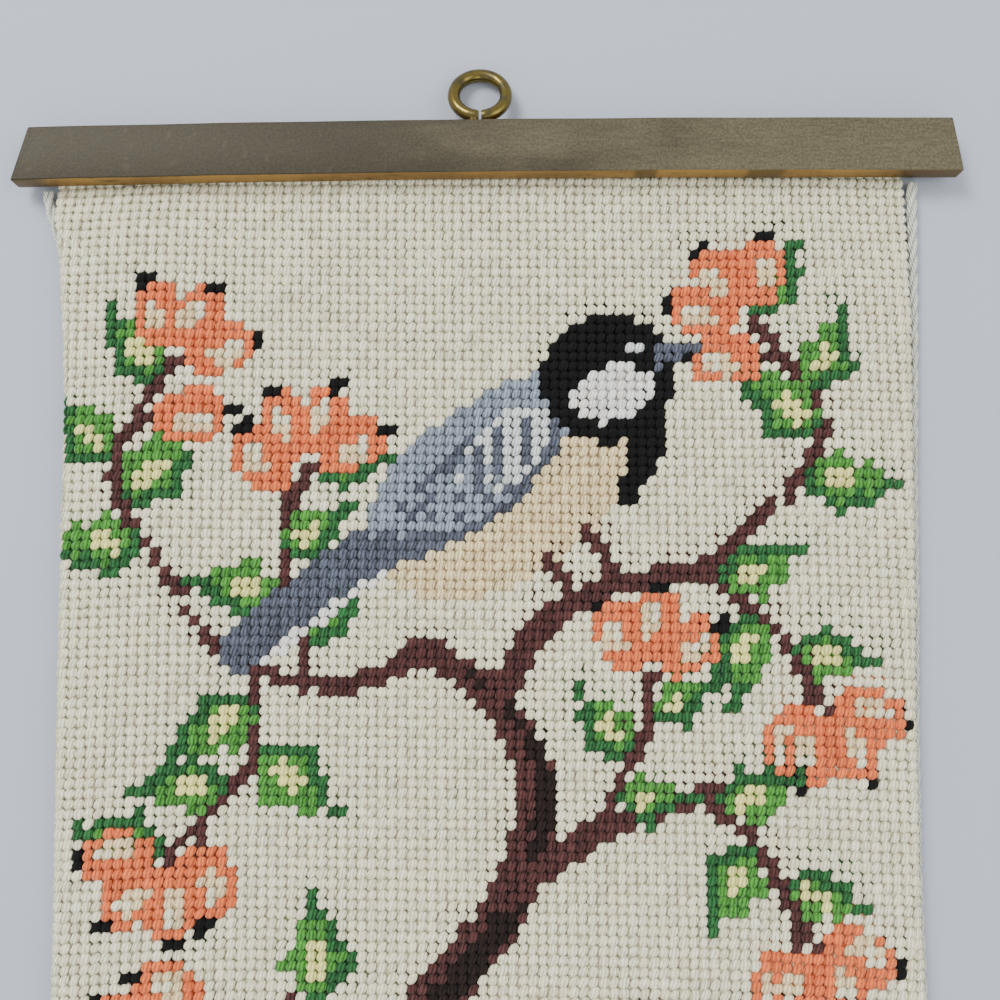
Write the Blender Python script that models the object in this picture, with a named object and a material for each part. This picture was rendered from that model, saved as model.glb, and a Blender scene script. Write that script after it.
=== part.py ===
"""Stitched canvas bell pull on a flat hanger bar, lying face up.

Metres, +Z up. The panel lies on z = 0 with its worked face up, the bar lies across its
upper end (+Y), and the screw eye stands out of the bar's top edge. The origin is under the
middle of the whole object. Each sub-part is one closed mesh in an object of its own.
"""

import math

import bmesh
import bpy

MM = 0.001
GAP = 0.3 * MM  # clearance between neighbouring pieces

# Canvas: twelve threads to the inch, worked 90 stitches wide and 216 rows long.
STITCH_PITCH = 25.4 * MM / 12
ROWS = 216
PANEL_LENGTH = ROWS * STITCH_PITCH  # from the bar's lower edge to the bottom fold
PANEL_CENTRE_X = -1.5 * MM  # the panel sits a little left of the bar's middle
SHEET = 2.2 * MM  # canvas with its wool
FOLD_RADIUS = SHEET / 2
HEM_LIFT = 3.0 * MM  # how far a turned-back hem raises the face
HEM_WIDTH = 12.0 * MM
SAG_WIDTH = 45.0 * MM  # from an edge to where the sheet has come down to the surface
STEP = 0.3 * MM  # run of a steep step on the underside
MIDDLE_PARTS = 6

CORD_RADIUS = 1.3 * MM
CORD_POINTS = 64

BAR_LENGTH = 210.8 * MM
BAR_HEIGHT = 12.2 * MM
BAR_THICKNESS = 4.4 * MM
BAR_MITRE_LEFT = 3.6 * MM
BAR_MITRE_RIGHT = 1.9 * MM
BAR_BEVEL = 0.3 * MM

WIRE_RADIUS = 1.4 * MM
EYE_RADIUS = 5.9 * MM  # of the wire's centre line
EYE_TILT = math.radians(17.0)  # the outer end of the eye droops
EYE_SLIT = 0.6 * MM
EYE_SEGMENTS = 44
WIRE_SIDES = 14
SHANK_RADIUS = 1.1 * MM
SHANK_DEPTH = 8.0 * MM
SHANK_Z = 5.0 * MM

# The panel's outline. One row for each section: its distance below the bar's lower edge,
# the reach of the left and right edges from the panel's centre line, how far each edging
# cord shows past its edge, and the share of the hem's lift there. Millimetres and shares.
SECTION_NAMES = ("below", "left", "right", "cord_left", "cord_right", "lift_left", "lift_right")
SECTION_ROWS = (
    (-10.0, 96.2, 95.7, 2.9, 3.0, 0.00, 0.00),
    (0.0, 96.2, 95.7, 2.9, 3.0, 0.00, 0.00),
    (4.0, 95.7, 95.4, 2.9, 3.0, 0.30, 0.12),
    (9.5, 94.6, 95.2, 2.1, 3.0, 0.85, 0.30),
    (17.0, 93.4, 94.9, 1.0, 3.0, 1.00, 0.60),
    (32.0, 92.3, 94.5, 0.5, 2.8, 1.00, 1.00),
    (48.0, 91.4, 93.9, 0.3, 2.6, 1.00, 1.00),
    (70.0, 91.4, 93.1, 0.3, 2.3, 1.00, 1.00),
    (93.0, 91.3, 92.4, 0.9, 2.2, 1.00, 1.00),
    (122.0, 90.9, 91.2, 1.3, 2.0, 1.00, 1.00),
    (156.0, 90.4, 90.4, 1.6, 1.9, 1.00, 1.00),
    (200.0, 90.3, 90.6, 1.6, 1.6, 1.00, 1.00),
    (270.0, 90.6, 90.3, 1.4, 1.7, 1.00, 1.00),
    (340.0, 90.2, 90.5, 1.6, 1.5, 1.00, 1.00),
    (400.0, 90.5, 90.4, 1.5, 1.6, 1.00, 1.00),
    (457.2, 90.4, 90.5, 1.6, 1.6, 1.00, 1.00),
)

# Soft unevenness of the face. Centre, half length and half width in millimetres, rise too.
RISE_NAMES = ("x", "below", "half_width", "half_length", "rise")
RISE_ROWS = (
    (-46.0, 26.0, 22.0, 18.0, 0.5),
    (30.0, 18.0, 34.0, 14.0, 0.4),
    (12.0, 96.0, 36.0, 44.0, 0.6),
    (-30.0, 170.0, 30.0, 40.0, 0.5),
    (28.0, 236.0, 32.0, 46.0, 0.6),
    (-14.0, 330.0, 38.0, 50.0, 0.5),
)

EYE_REACH = GAP + 2 * WIRE_RADIUS + 2 * EYE_RADIUS * math.cos(EYE_TILT)
TOTAL_LENGTH = PANEL_LENGTH + BAR_HEIGHT + EYE_REACH
PANEL_BOTTOM_Y = -TOTAL_LENGTH / 2
BAR_LOW_Y = PANEL_BOTTOM_Y + PANEL_LENGTH
BAR_TOP_Y = BAR_LOW_Y + BAR_HEIGHT
BAR_Z = SHEET + GAP


def clear_scene():
    for obj in list(bpy.data.objects):
        bpy.data.objects.remove(obj, do_unlink=True)


def smooth_step(t):
    t = min(max(t, 0.0), 1.0)
    return t * t * (3 - 2 * t)


def section_at(below):
    """The panel's outline at a distance below the bar, by name, in metres and shares."""
    at = below / MM
    rows = SECTION_ROWS
    upper = max(i for i in range(len(rows) - 1) if rows[i][0] <= at + 1e-9 or i == 0)
    first, second = rows[upper], rows[upper + 1]
    t = min(max((at - first[0]) / (second[0] - first[0]), 0.0), 1.0)
    values = dict(zip(SECTION_NAMES, (a + t * (b - a) for a, b in zip(first, second))))
    for name in ("left", "right", "cord_left", "cord_right"):
        values[name] *= MM
    return values


def rise_at(x, below):
    total = 0.0
    for row in RISE_ROWS:
        rise = dict(zip(RISE_NAMES, row))
        across = (x / MM - rise["x"]) / rise["half_width"]
        along = (below / MM - rise["below"]) / rise["half_length"]
        total += rise["rise"] * MM * smooth_step(1 - math.hypot(across, along))
    return total


def lift_share(distance):
    """1 over the hem, falling to 0 where the sheet lies on the surface."""
    return smooth_step((SAG_WIDTH - distance) / (SAG_WIDTH - HEM_WIDTH))


def fold_drop(distance):
    """How far a folded edge has turned away from the sheet's face."""
    inward = max(FOLD_RADIUS - distance, 0.0)
    return FOLD_RADIUS - math.sqrt(max(FOLD_RADIUS**2 - inward**2, 0.0))


def side_steps(cord_shows):
    """Distances from a side edge at which the section has its points."""
    groove = max(2 * CORD_RADIUS + GAP - cord_shows, FOLD_RADIUS + 0.05 * MM)
    fold = [FOLD_RADIUS * (1 - math.cos(math.radians(angle))) for angle in (0, 25, 50, 70, 90)]
    hem = [groove, groove + STEP, 6 * MM, HEM_WIDTH, HEM_WIDTH + STEP]
    return fold + hem + [20 * MM, 27 * MM, 36 * MM, SAG_WIDTH]


def face_and_back(x, below, to_left, to_right, to_end, groove_left, groove_right, section):
    """Heights of the worked face and of the underside at one point of the panel."""
    side = lift_share(to_left) * section["lift_left"] + lift_share(to_right) * section["lift_right"]
    lift = HEM_LIFT * max(side, lift_share(to_end))
    nearest = min(to_left, to_right, to_end)
    uneven = rise_at(x, below) * smooth_step(nearest / SAG_WIDTH)
    drop = fold_drop(nearest)
    face = SHEET + lift + uneven - drop
    back = lift + uneven + drop
    past_groove = to_left > groove_left and to_right > groove_right and to_end > FOLD_RADIUS
    in_hem = nearest < HEM_WIDTH + STEP / 2
    if past_groove and in_hem:
        back = 0.0
    return face, back


def panel_rows():
    fixed = [row[0] * MM for row in SECTION_ROWS if row[0] * MM < PANEL_LENGTH - SAG_WIDTH]
    between = [235 * MM, 305 * MM, 370 * MM]
    end = [PANEL_LENGTH - step for step in side_steps(2 * CORD_RADIUS)]
    return sorted(fixed + between + end)


def panel_columns(section):
    """x, and the distances to both edges, for each point across a section."""
    left = [PANEL_CENTRE_X - section["left"] + s for s in side_steps(section["cord_left"])]
    right = [PANEL_CENTRE_X + section["right"] - s for s in side_steps(section["cord_right"])]
    start, stop = left[-1], right[-1]
    middle = [start + (stop - start) * i / MIDDLE_PARTS for i in range(1, MIDDLE_PARTS)]
    return left + middle + right[::-1]


def build_panel():
    """The worked canvas with its turned-back side hems and bottom hem, as one sheet."""
    mesh = bmesh.new()
    faces, backs = [], []
    for below in panel_rows():
        section = section_at(below)
        left_edge = PANEL_CENTRE_X - section["left"]
        right_edge = PANEL_CENTRE_X + section["right"]
        groove_left = side_steps(section["cord_left"])[5] + STEP / 2
        groove_right = side_steps(section["cord_right"])[5] + STEP / 2
        face_row, back_row = [], []
        for x in panel_columns(section):
            to_left = x - left_edge
            to_right = right_edge - x
            to_end = PANEL_LENGTH - below
            face, back = face_and_back(
                x, below, to_left, to_right, to_end, groove_left, groove_right, section
            )
            y = BAR_LOW_Y - below
            face_vert = mesh.verts.new((x, y, face))
            on_rim = min(to_left, to_right, to_end) < 1e-7
            face_row.append(face_vert)
            back_row.append(face_vert if on_rim else mesh.verts.new((x, y, back)))
        faces.append(face_row)
        backs.append(back_row)
    for grid in (faces, backs):
        for upper, lower in zip(grid, grid[1:]):
            add_strip(mesh, upper, lower)
    add_strip(mesh, backs[0], faces[0])
    bmesh.ops.triangulate(mesh, faces=mesh.faces[:])
    return finish_mesh("panel", mesh)


def add_strip(mesh, upper, lower):
    """Faces between two rows of vertices, which share their ends on the rim."""
    for i in range(len(upper) - 1):
        corners = dict.fromkeys((upper[i], lower[i], lower[i + 1], upper[i + 1]))
        mesh.faces.new(list(corners))


def finish_mesh(name, mesh):
    """An object from a mesh, with its faces turned outward."""
    bmesh.ops.recalc_face_normals(mesh, faces=mesh.faces[:])
    data = bpy.data.meshes.new(name)
    mesh.to_mesh(data)
    mesh.free()
    obj = bpy.data.objects.new(name, data)
    bpy.context.scene.collection.objects.link(obj)
    return obj


def build_cord(name, side):
    """A sewn-on edging cord along one side, lying on the surface under the folded edge."""
    curve = bpy.data.curves.new(name, "CURVE")
    curve.dimensions = "3D"
    curve.bevel_depth = CORD_RADIUS
    curve.bevel_resolution = 2
    curve.use_fill_caps = True
    sign = -1 if side == "left" else 1
    start, stop = GAP + 0.2 * MM, PANEL_LENGTH - 1.0 * MM
    spline = curve.splines.new("POLY")
    spline.points.add(CORD_POINTS - 1)
    for i, point in enumerate(spline.points):
        below = start + (stop - start) * (i / (CORD_POINTS - 1)) ** 1.6
        section = section_at(below)
        reach = section[side] + section["cord_" + side] - CORD_RADIUS
        x = PANEL_CENTRE_X + sign * reach
        point.co = (x, BAR_LOW_Y - below, CORD_RADIUS, 1.0)
    obj = bpy.data.objects.new(name, curve)
    bpy.context.scene.collection.objects.link(obj)
    return obj


def build_bar():
    """The flat bar with its mitred ends, and the hole that the screw eye goes into."""
    half = BAR_LENGTH / 2
    outline = (
        (-half, 0.0),
        (half, 0.0),
        (half - BAR_MITRE_RIGHT, BAR_HEIGHT),
        (-half + BAR_MITRE_LEFT, BAR_HEIGHT),
    )
    mesh = bmesh.new()
    base = mesh.faces.new([mesh.verts.new((x, BAR_LOW_Y + y, BAR_Z)) for x, y in outline])
    made = bmesh.ops.extrude_face_region(mesh, geom=[base])
    raised = [item for item in made["geom"] if isinstance(item, bmesh.types.BMVert)]
    bmesh.ops.translate(mesh, verts=raised, vec=(0, 0, BAR_THICKNESS))
    bar = finish_mesh("hanger_bar", mesh)
    bevel = bar.modifiers.new("edges", "BEVEL")
    bevel.width = BAR_BEVEL
    bevel.segments = 2
    hole = bar.modifiers.new("eye_hole", "BOOLEAN")
    hole.operation = "DIFFERENCE"
    hole.object = build_hole_cutter()
    return bar


def build_hole_cutter():
    bottom = BAR_TOP_Y - SHANK_DEPTH - 0.5 * MM
    cutter = add_cylinder("eye_hole_cutter", SHANK_RADIUS + GAP, bottom, BAR_TOP_Y + 1 * MM)
    cutter.hide_render = True
    cutter.display_type = "WIRE"
    return cutter


def add_cylinder(name, radius, low_y, high_y):
    """A round pin along Y on the eye's shank axis."""
    mesh = bmesh.new()
    bmesh.ops.create_cone(
        mesh, cap_ends=True, segments=WIRE_SIDES, radius1=radius, radius2=radius, depth=high_y - low_y
    )
    obj = finish_mesh(name, mesh)
    obj.location = (shank_x(), (low_y + high_y) / 2, SHANK_Z)
    obj.rotation_euler = (math.radians(-90), 0, 0)
    return obj


def shank_x():
    """The shank rises into the left end of the loop, beside the slit."""
    return PANEL_CENTRE_X - EYE_SLIT / 2 - SHANK_RADIUS


def build_eye():
    """A screw eye: a loop of round wire, nearly closed, on a plain shank."""
    slit_angle = EYE_SLIT / 2 / EYE_RADIUS
    mesh = bmesh.new()
    rings = []
    for i in range(EYE_SEGMENTS + 1):
        angle = -math.pi / 2 + slit_angle + (2 * math.pi - 2 * slit_angle) * i / EYE_SEGMENTS
        rings.append([mesh.verts.new(eye_point(angle, j)) for j in range(WIRE_SIDES)])
    for first, second in zip(rings, rings[1:]):
        for j in range(WIRE_SIDES):
            k = (j + 1) % WIRE_SIDES
            mesh.faces.new((first[j], second[j], second[k], first[k]))
    mesh.faces.new(rings[0])
    mesh.faces.new(rings[-1][::-1])
    eye = finish_mesh("screw_eye", mesh)
    join = eye.modifiers.new("shank", "BOOLEAN")
    join.operation = "UNION"
    join.object = build_shank()
    return eye


def eye_point(angle, side):
    """A point of the loop's surface, its near end beside the bar and its far end lower."""
    round_wire = 2 * math.pi * side / WIRE_SIDES
    radius = EYE_RADIUS + WIRE_RADIUS * math.cos(round_wire)
    across = radius * math.cos(angle)
    along = EYE_RADIUS + radius * math.sin(angle)
    up = WIRE_RADIUS * math.sin(round_wire)
    y = BAR_TOP_Y + GAP + WIRE_RADIUS + along * math.cos(EYE_TILT) + up * math.sin(EYE_TILT)
    z = SHANK_Z - along * math.sin(EYE_TILT) + up * math.cos(EYE_TILT)
    return (PANEL_CENTRE_X + across, y, z)


def build_shank():
    shank = add_cylinder(
        "shank_union", SHANK_RADIUS, BAR_TOP_Y - SHANK_DEPTH, BAR_TOP_Y + GAP + WIRE_RADIUS
    )
    shank.hide_render = True
    shank.display_type = "WIRE"
    return shank


def add_material(obj, name, colour, roughness, metallic=0.0):
    material = bpy.data.materials.new(name)
    material.use_nodes = True
    shader = material.node_tree.nodes["Principled BSDF"]
    shader.inputs["Base Color"].default_value = (*colour, 1.0)
    shader.inputs["Roughness"].default_value = roughness
    shader.inputs["Metallic"].default_value = metallic
    obj.data.materials.append(material)


def main():
    clear_scene()
    panel = build_panel()
    cord_left = build_cord("edge_cord_left", "left")
    cord_right = build_cord("edge_cord_right", "right")
    bar = build_bar()
    eye = build_eye()
    bar.data.shade_smooth()
    bar.data.set_sharp_from_angle(angle=math.radians(30))
    eye.data.shade_smooth()
    add_material(panel, "wool_on_canvas", (0.80, 0.72, 0.54), 0.85)
    add_material(cord_left, "twisted_cord_left", (0.66, 0.66, 0.55), 0.45)
    add_material(cord_right, "twisted_cord_right", (0.66, 0.66, 0.55), 0.45)
    add_material(bar, "patinated_brass", (0.15, 0.13, 0.08), 0.45, 0.8)
    add_material(eye, "polished_brass", (0.55, 0.42, 0.14), 0.22, 1.0)


main()
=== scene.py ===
import math

import bmesh
import bpy
import numpy as np
from mathutils import Matrix, Vector


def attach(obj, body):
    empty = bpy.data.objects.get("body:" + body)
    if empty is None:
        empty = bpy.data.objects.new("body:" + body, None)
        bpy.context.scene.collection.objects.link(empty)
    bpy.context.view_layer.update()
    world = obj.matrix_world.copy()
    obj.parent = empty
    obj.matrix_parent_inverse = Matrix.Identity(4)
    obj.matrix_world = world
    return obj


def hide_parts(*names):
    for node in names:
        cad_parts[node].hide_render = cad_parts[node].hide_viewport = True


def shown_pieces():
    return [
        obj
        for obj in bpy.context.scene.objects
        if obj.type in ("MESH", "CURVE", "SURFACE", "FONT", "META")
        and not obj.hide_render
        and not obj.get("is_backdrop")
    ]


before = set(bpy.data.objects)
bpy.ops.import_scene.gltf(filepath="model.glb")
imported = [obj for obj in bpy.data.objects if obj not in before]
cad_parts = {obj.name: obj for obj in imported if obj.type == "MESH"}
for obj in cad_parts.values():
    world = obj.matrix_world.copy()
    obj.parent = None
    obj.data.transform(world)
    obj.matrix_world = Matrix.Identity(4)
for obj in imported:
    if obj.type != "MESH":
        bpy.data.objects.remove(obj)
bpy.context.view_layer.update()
mm = 0.001
print("frame loaded")

# The canvas: where it lies under the bar, and its outline and soft rises, as the solids have them
cloth = {
    "pitch": 25.4 * mm / 12,  # one stitch, across and down
    "columns": 90,
    "rows": 216,
    "centreX": -1.5 * mm,
    "barLowY": 215.308 * mm,
    "length": 457.2 * mm,
    "tuckedUp": 9.5 * mm,  # how far the canvas goes on under the bar
    "sheet": 2.2 * mm,
    "fold": 1.1 * mm,
    "hemLift": 3.0 * mm,
    "hem": 12.0 * mm,
    "sag": 45.0 * mm,
    "cordRadius": 1.3 * mm,
    # distances below the bar, and how far a row runs down there over the slope's reach, in millimetres
    "slopePlaces": (0, 60, 120, 175, 300, 457),
    "slopes": (1.3, 2.0, 2.6, 3.0, 2.0, 0.0),
    "slopeReach": 95 * mm,
    # how far the rows hang at the left and the right edge, and over how many columns
    "hang": ((1.2 * mm, 14), (0.5 * mm, 12)),
    "evenEnd": 60 * mm,  # the rows come level over this length at the foot
}
# below the bar, reach to the left and right, cord shown left and right, lift of the edge left and right
outlineRows = np.array([
    (-10.0, 96.2, 95.7, 2.9, 3.0, 0.00, 0.00), (0.0, 96.2, 95.7, 2.9, 3.0, 0.00, 0.00),
    (4.0, 95.7, 95.4, 2.9, 3.0, 0.30, 0.12), (9.5, 94.6, 95.2, 2.1, 3.0, 0.85, 0.30),
    (17.0, 93.4, 94.9, 1.0, 3.0, 1.00, 0.60), (32.0, 92.3, 94.5, 0.5, 2.8, 1.00, 1.00),
    (48.0, 91.4, 93.9, 0.3, 2.6, 1.00, 1.00), (70.0, 91.4, 93.1, 0.3, 2.3, 1.00, 1.00),
    (93.0, 91.3, 92.4, 0.9, 2.2, 1.00, 1.00), (122.0, 90.9, 91.2, 1.3, 2.0, 1.00, 1.00),
    (156.0, 90.4, 90.4, 1.6, 1.9, 1.00, 1.00), (200.0, 90.3, 90.6, 1.6, 1.6, 1.00, 1.00),
    (270.0, 90.6, 90.3, 1.4, 1.7, 1.00, 1.00), (340.0, 90.2, 90.5, 1.6, 1.5, 1.00, 1.00),
    (400.0, 90.5, 90.4, 1.5, 1.6, 1.00, 1.00), (457.2, 90.4, 90.5, 1.6, 1.6, 1.00, 1.00),
])
# x, below the bar, half width, half length, rise
riseRows = (
    (-46.0, 26.0, 22.0, 18.0, 0.5), (30.0, 18.0, 34.0, 14.0, 0.4), (12.0, 96.0, 36.0, 44.0, 0.6),
    (-30.0, 170.0, 30.0, 40.0, 0.5), (28.0, 236.0, 32.0, 46.0, 0.6), (-14.0, 330.0, 38.0, 50.0, 0.5),
)


# The design, one yarn for each stitch, drawn in stitches: column from the left, row from the bar down
yarnNames = [
    "ground", "black", "slate", "blueGrey", "paleGrey", "white", "buff", "darkGreen",
    "midGreen", "paleYellow", "orange", "peach", "maroon", "darkBrown", "taupe",
]
yarnIndex = {name: i for i, name in enumerate(yarnNames)}
chartSize = {"columns": 90, "rows": 216}
columnAt, rowAt = np.meshgrid(np.arange(chartSize["columns"]) + 0.5, np.arange(chartSize["rows"]) + 0.5)
chart = np.zeros(columnAt.shape, int)


def paint(where, yarn):
    chart[where] = yarnIndex[yarn]


def curveThrough(points, steps=7):
    # a smooth line through the points
    p = np.array(points, float)
    p = np.vstack([2 * p[0] - p[1], p, 2 * p[-1] - p[-2]])
    made = []
    for a, b, c, d in zip(p, p[1:], p[2:], p[3:]):
        for t in np.arange(steps) / steps:
            made.append(0.5 * (2 * b + (c - a) * t + (2 * a - 5 * b + 4 * c - d) * t**2
                               + (3 * b - a - 3 * c + d) * t**3))
    made.append(p[-2])
    return np.array(made)


def oval(centre, reach, width, angle, yarn):
    # a filled oval: half its length, half its width, and its turn in degrees, clockwise from the right
    c, s = math.cos(math.radians(angle)), math.sin(math.radians(angle))
    x, y = columnAt - centre[0], rowAt - centre[1]
    inside = ((x * c + y * s) / reach) ** 2 + ((y * c - x * s) / width) ** 2 < 1
    paint(inside, yarn)
    return inside


def limb(points, yarn):
    # a line whose width changes along it, each point a column, a row and a width
    line = curveThrough(points)
    inside = np.zeros(columnAt.shape, bool)
    for x, y, width in line:
        inside |= np.hypot(columnAt - x, rowAt - y) < width / 2
    paint(inside, yarn)
    return inside


def thread(points, yarn):
    # a line one stitch wide
    line = curveThrough(points, 24)
    column = np.clip(line[:, 0].astype(int), 0, chartSize["columns"] - 1)
    row = np.clip(line[:, 1].astype(int), 0, chartSize["rows"] - 1)
    chart[row, column] = yarnIndex[yarn]


def alongAcross(start, end):
    # each stitch's place along a line, 0 to 1, and its distance to the line's right side
    dx, dy = end[0] - start[0], end[1] - start[1]
    length = math.hypot(dx, dy)
    along = ((columnAt - start[0]) * dx + (rowAt - start[1]) * dy) / length**2
    across = ((rowAt - start[1]) * dx - (columnAt - start[0]) * dy) / length
    return along, across


def leaf(base, tip, width, darkSide=1, bend=0.0):
    # a pointed leaf with notched sides: dark on one side, light along the middle
    along, across = alongAcross(base, tip)
    inRange = (along > 0) & (along < 1)
    a = np.clip(along, 0.001, 0.999)
    across = (across - bend * np.sin(np.pi * a)) * darkSide
    notch = 1 + 0.2 * np.cos(a * 2 * np.pi * 2.5)
    half = width * 0.57 * np.sin(np.pi * a**0.75) ** 0.75 * notch
    body = inRange & (np.abs(across) < half)
    paint(body, "midGreen")
    paint(body & ((across > half - 1.35) | (along > 0.86) | (along < 0.07)), "darkGreen")
    middle = (np.abs(across + 0.04 * width) < 0.19 * width) & (a > 0.2) & (a < 0.6)
    paint(body & middle, "paleYellow")
    dx, dy = tip[0] - base[0], tip[1] - base[1]
    length = math.hypot(dx, dy)
    thread([tip, (tip[0] + 1.2 * dx / length, tip[1] + 1.2 * dy / length)], "darkGreen")


def berry(centre, towards, length, width, light=-1):
    # a long fruit with its light side and a black tip
    dx, dy = towards
    norm = math.hypot(dx, dy)
    ux, uy = dx / norm, dy / norm
    along = ((columnAt - centre[0]) * ux + (rowAt - centre[1]) * uy) / (length / 2)
    across = ((rowAt - centre[1]) * ux - (columnAt - centre[0]) * uy) / (width / 2) * light
    size = np.abs(along) ** 2.4 + np.abs(across) ** 2.4
    paint(size < 1, "orange")
    glow = ((along - 0.08) / 0.5) ** 2 + ((across - 0.28) / 0.42) ** 2
    paint((size < 0.8) & (glow < 1), "peach")
    paint((size < 0.6) & (((along - 0.34) / 0.26) ** 2 + ((across - 0.12) / 0.26) ** 2 < 1), "ground")
    x, y = centre[0] + ux * (length / 2 + 0.35), centre[1] + uy * (length / 2 + 0.35)
    thread([(x - 0.3, y + 0.3), (x + 0.3, y - 0.3)], "black")


def bird(breast, facing, lean, size):
    # a small perching bird, from ovals and tapered strokes set along its own body line
    c, s = math.cos(math.radians(lean)), math.sin(math.radians(lean))

    def at(forward, up, *width):
        x, y = (forward * c - up * s) * size, (forward * s + up * c) * size
        return (breast[0] + facing * x, breast[1] - y) + tuple(w * size for w in width)

    def stroke(yarn, *points):
        limb([at(*point) for point in points], yarn)

    def body(forward, up, reach, width, turn, yarn):
        oval(at(forward, up), reach * size, width * size, -facing * (lean + turn), yarn)

    stroke("slate", (-11, 1, 6.4), (-22, 0.4, 5.4), (-33, -1.2, 4.6))
    stroke("white", (-16, -1.6, 1.3), (-25, -2.4, 1.3), (-32, -3.4, 1.1))
    body(-1, -0.6, 15, 8.6, 4, "buff")
    stroke("blueGrey", (-13, 3.2, 5), (-6, 5.2, 7.4), (3, 5.6, 7.8), (9, 5.2, 6.4))
    # the folded wing, its covers pale and its long feathers dark
    stroke("slate", (5, 3, 5), (-3, 2, 8.4), (-11, 0.8, 5.6), (-18, 0.4, 2))
    body(1, 3.4, 6.2, 3.2, 12, "paleGrey")
    for step in range(4):
        reach = -15.5 + 2.6 * step
        thread([at(-1.5, 4.4 - 1.7 * step), at(reach, 2.6 - 1.2 * step)], "blueGrey")
    for step in range(3):
        thread([at(4.5 - 3 * step, 5.2), at(2.6 - 3 * step, 1.6)], "slate")
    # the dark hood and bib, and the light cheek
    body(14.4, 4.6, 7.2, 6.6, 0, "black")
    stroke("black", (15.6, -0.4, 5), (13.4, -4, 3.6), (10, -6.6, 2))
    body(14, 3, 4.4, 2.9, -10, "white")
    thread([at(18, 5.8), at(18.6, 5.8)], "paleGrey")
    stroke("slate", (20.6, 3.8, 2.4), (24.4, 2.8, 0.9))
    for forward in (-1, 4):
        thread([at(forward, -8), at(forward + 0.6, -12.4)], "maroon")


def spray(points, first, gap, leafLength, side, berryEvery=4):
    # a twig with leaves on alternate sides, and berries in place of every few leaves and at its end
    line = curveThrough(points, 24)
    thread(points, "maroon")
    steps = np.hypot(*np.diff(line, axis=0).T)
    travelled = np.concatenate([[0], np.cumsum(steps)])
    for i, distance in enumerate(np.arange(first, travelled[-1], gap)):
        k = min(int(np.searchsorted(travelled, distance)), len(line) - 2)
        heading = math.atan2(line[k + 1][1] - line[k][1], line[k + 1][0] - line[k][0])
        way = side if i % 2 else -side
        turn = heading + way * math.radians(56 + 9 * math.sin(i * 1.9))
        dx, dy = math.cos(turn), math.sin(turn)
        x, y = line[k]
        if i % berryEvery == berryEvery - 1:
            thread([(x, y), (x + 3 * dx, y + 3 * dy)], "maroon")
            berry((x + 6 * dx, y + 6 * dy), (dx, dy), 7.6, 5.6, way)
        else:
            reach = leafLength * (1 + 0.12 * math.sin(i * 2.7))
            leaf((x + 0.8 * dx, y + 0.8 * dy), (x + reach * dx, y + reach * dy), 0.56 * reach, way, 0.3)
    x, y = line[-1]
    heading = math.atan2(y - line[-4][1], x - line[-4][0])
    for fan in (-48, 0, 48):
        dx, dy = math.cos(heading + math.radians(fan)), math.sin(heading + math.radians(fan))
        berry((x + 4.6 * dx, y + 4.6 * dy), (dx, dy), 7.4, 5.2, 1 if fan > 0 else -1)


def branches():
    # one old stem from the foot of the panel, forking under the upper bird
    stem = [(40, 216, 17), (37, 196, 12), (44, 172, 9), (46, 150, 8), (37, 128, 7), (31, 108, 6.2),
            (37, 88, 5.4), (47, 74, 4.6), (50, 62, 4), (45, 53, 3.2), (38, 49, 2.4)]
    limb(stem, "maroon")
    limb([(x + 0.8, y, max(width - 2, 0.4)) for x, y, width in stem], "darkBrown")
    for fork in ([(46, 54, 3), (51, 46.4, 2.6), (58, 42.4, 2.4), (68, 40, 2), (76, 33, 1.4)],
                 [(47, 73, 3.2), (58, 66, 2.6), (68, 63, 1.8)],
                 [(40, 49, 2.4), (30, 53, 2), (19, 50, 1.6), (12, 41, 1.3)],
                 [(34, 110, 3.4), (43, 117, 3), (50, 120.6, 2.8), (64, 127, 2.4), (75, 137, 1.6)]):
        limb(fork, "maroon")


def sprays():
    # start, bend and end of each twig; first leaf, leaf spacing, leaf length, side
    for points, first, gap, leafLength, side in (
        ([(12, 41), (7, 31), (13, 19)], 2, 4.8, 9.5, 1),
        ([(27, 52), (24, 40), (27, 30)], 3, 4.8, 8.5, -1),
        ([(22, 51), (21, 61), (13, 70)], 3, 4.8, 9.5, -1),
        ([(76, 33), (80, 25), (73, 14)], 2, 4.8, 9.5, -1),
        ([(66, 40), (74, 46), (79, 54)], 3, 4.8, 8.5, 1),
        ([(66, 63), (72, 68), (77, 77)], 2, 4.8, 8.5, 1),
        ([(56, 67), (61, 57), (62, 51)], 3, 4.8, 7.5, -1),
        ([(37, 90), (26, 84), (14, 88)], 5, 4.8, 9.5, 1),
        ([(33, 108), (23, 116), (14, 129)], 4, 4.8, 9.5, -1),
        ([(74, 136), (78, 144), (72, 154)], 2, 4.8, 9, 1),
        ([(46, 150), (57, 154), (66, 166)], 5, 4.8, 9.5, 1),
        ([(42, 176), (28, 168), (16, 152)], 7, 4.8, 9.5, -1),
        ([(42, 190), (58, 186), (72, 192)], 9, 4.8, 10, 1),
        ([(34, 198), (22, 192), (12, 198)], 9, 4.8, 9, -1),
    ):
        spray(points, first, gap, leafLength, side)


def reeds():
    # feathery dry grass beside the stem
    for i in range(5):
        x, top = 60 + 6.2 * i, 84 + 5 * math.sin(i * 2.1)
        sway = 1.6 * math.sin(i * 1.7)
        thread([(x, top), (x + sway, top + 18), (x + 1.5 * sway, top + 38)], "taupe")
        for j in range(7):
            y, reach = top + 2 + 3.4 * j, 1.2 + 0.3 * j
            for way in (-1, 1):
                thread([(x, y + 1.6), (x + way * reach, y - 1)], "taupe")


reeds()
branches()
sprays()
bird((48, 32), 1, 30, 1.0)
bird((54, 110), -1, 38, 0.86)


def smoothStep(t):
    t = np.clip(t, 0, 1)
    return t * t * (3 - 2 * t)


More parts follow.
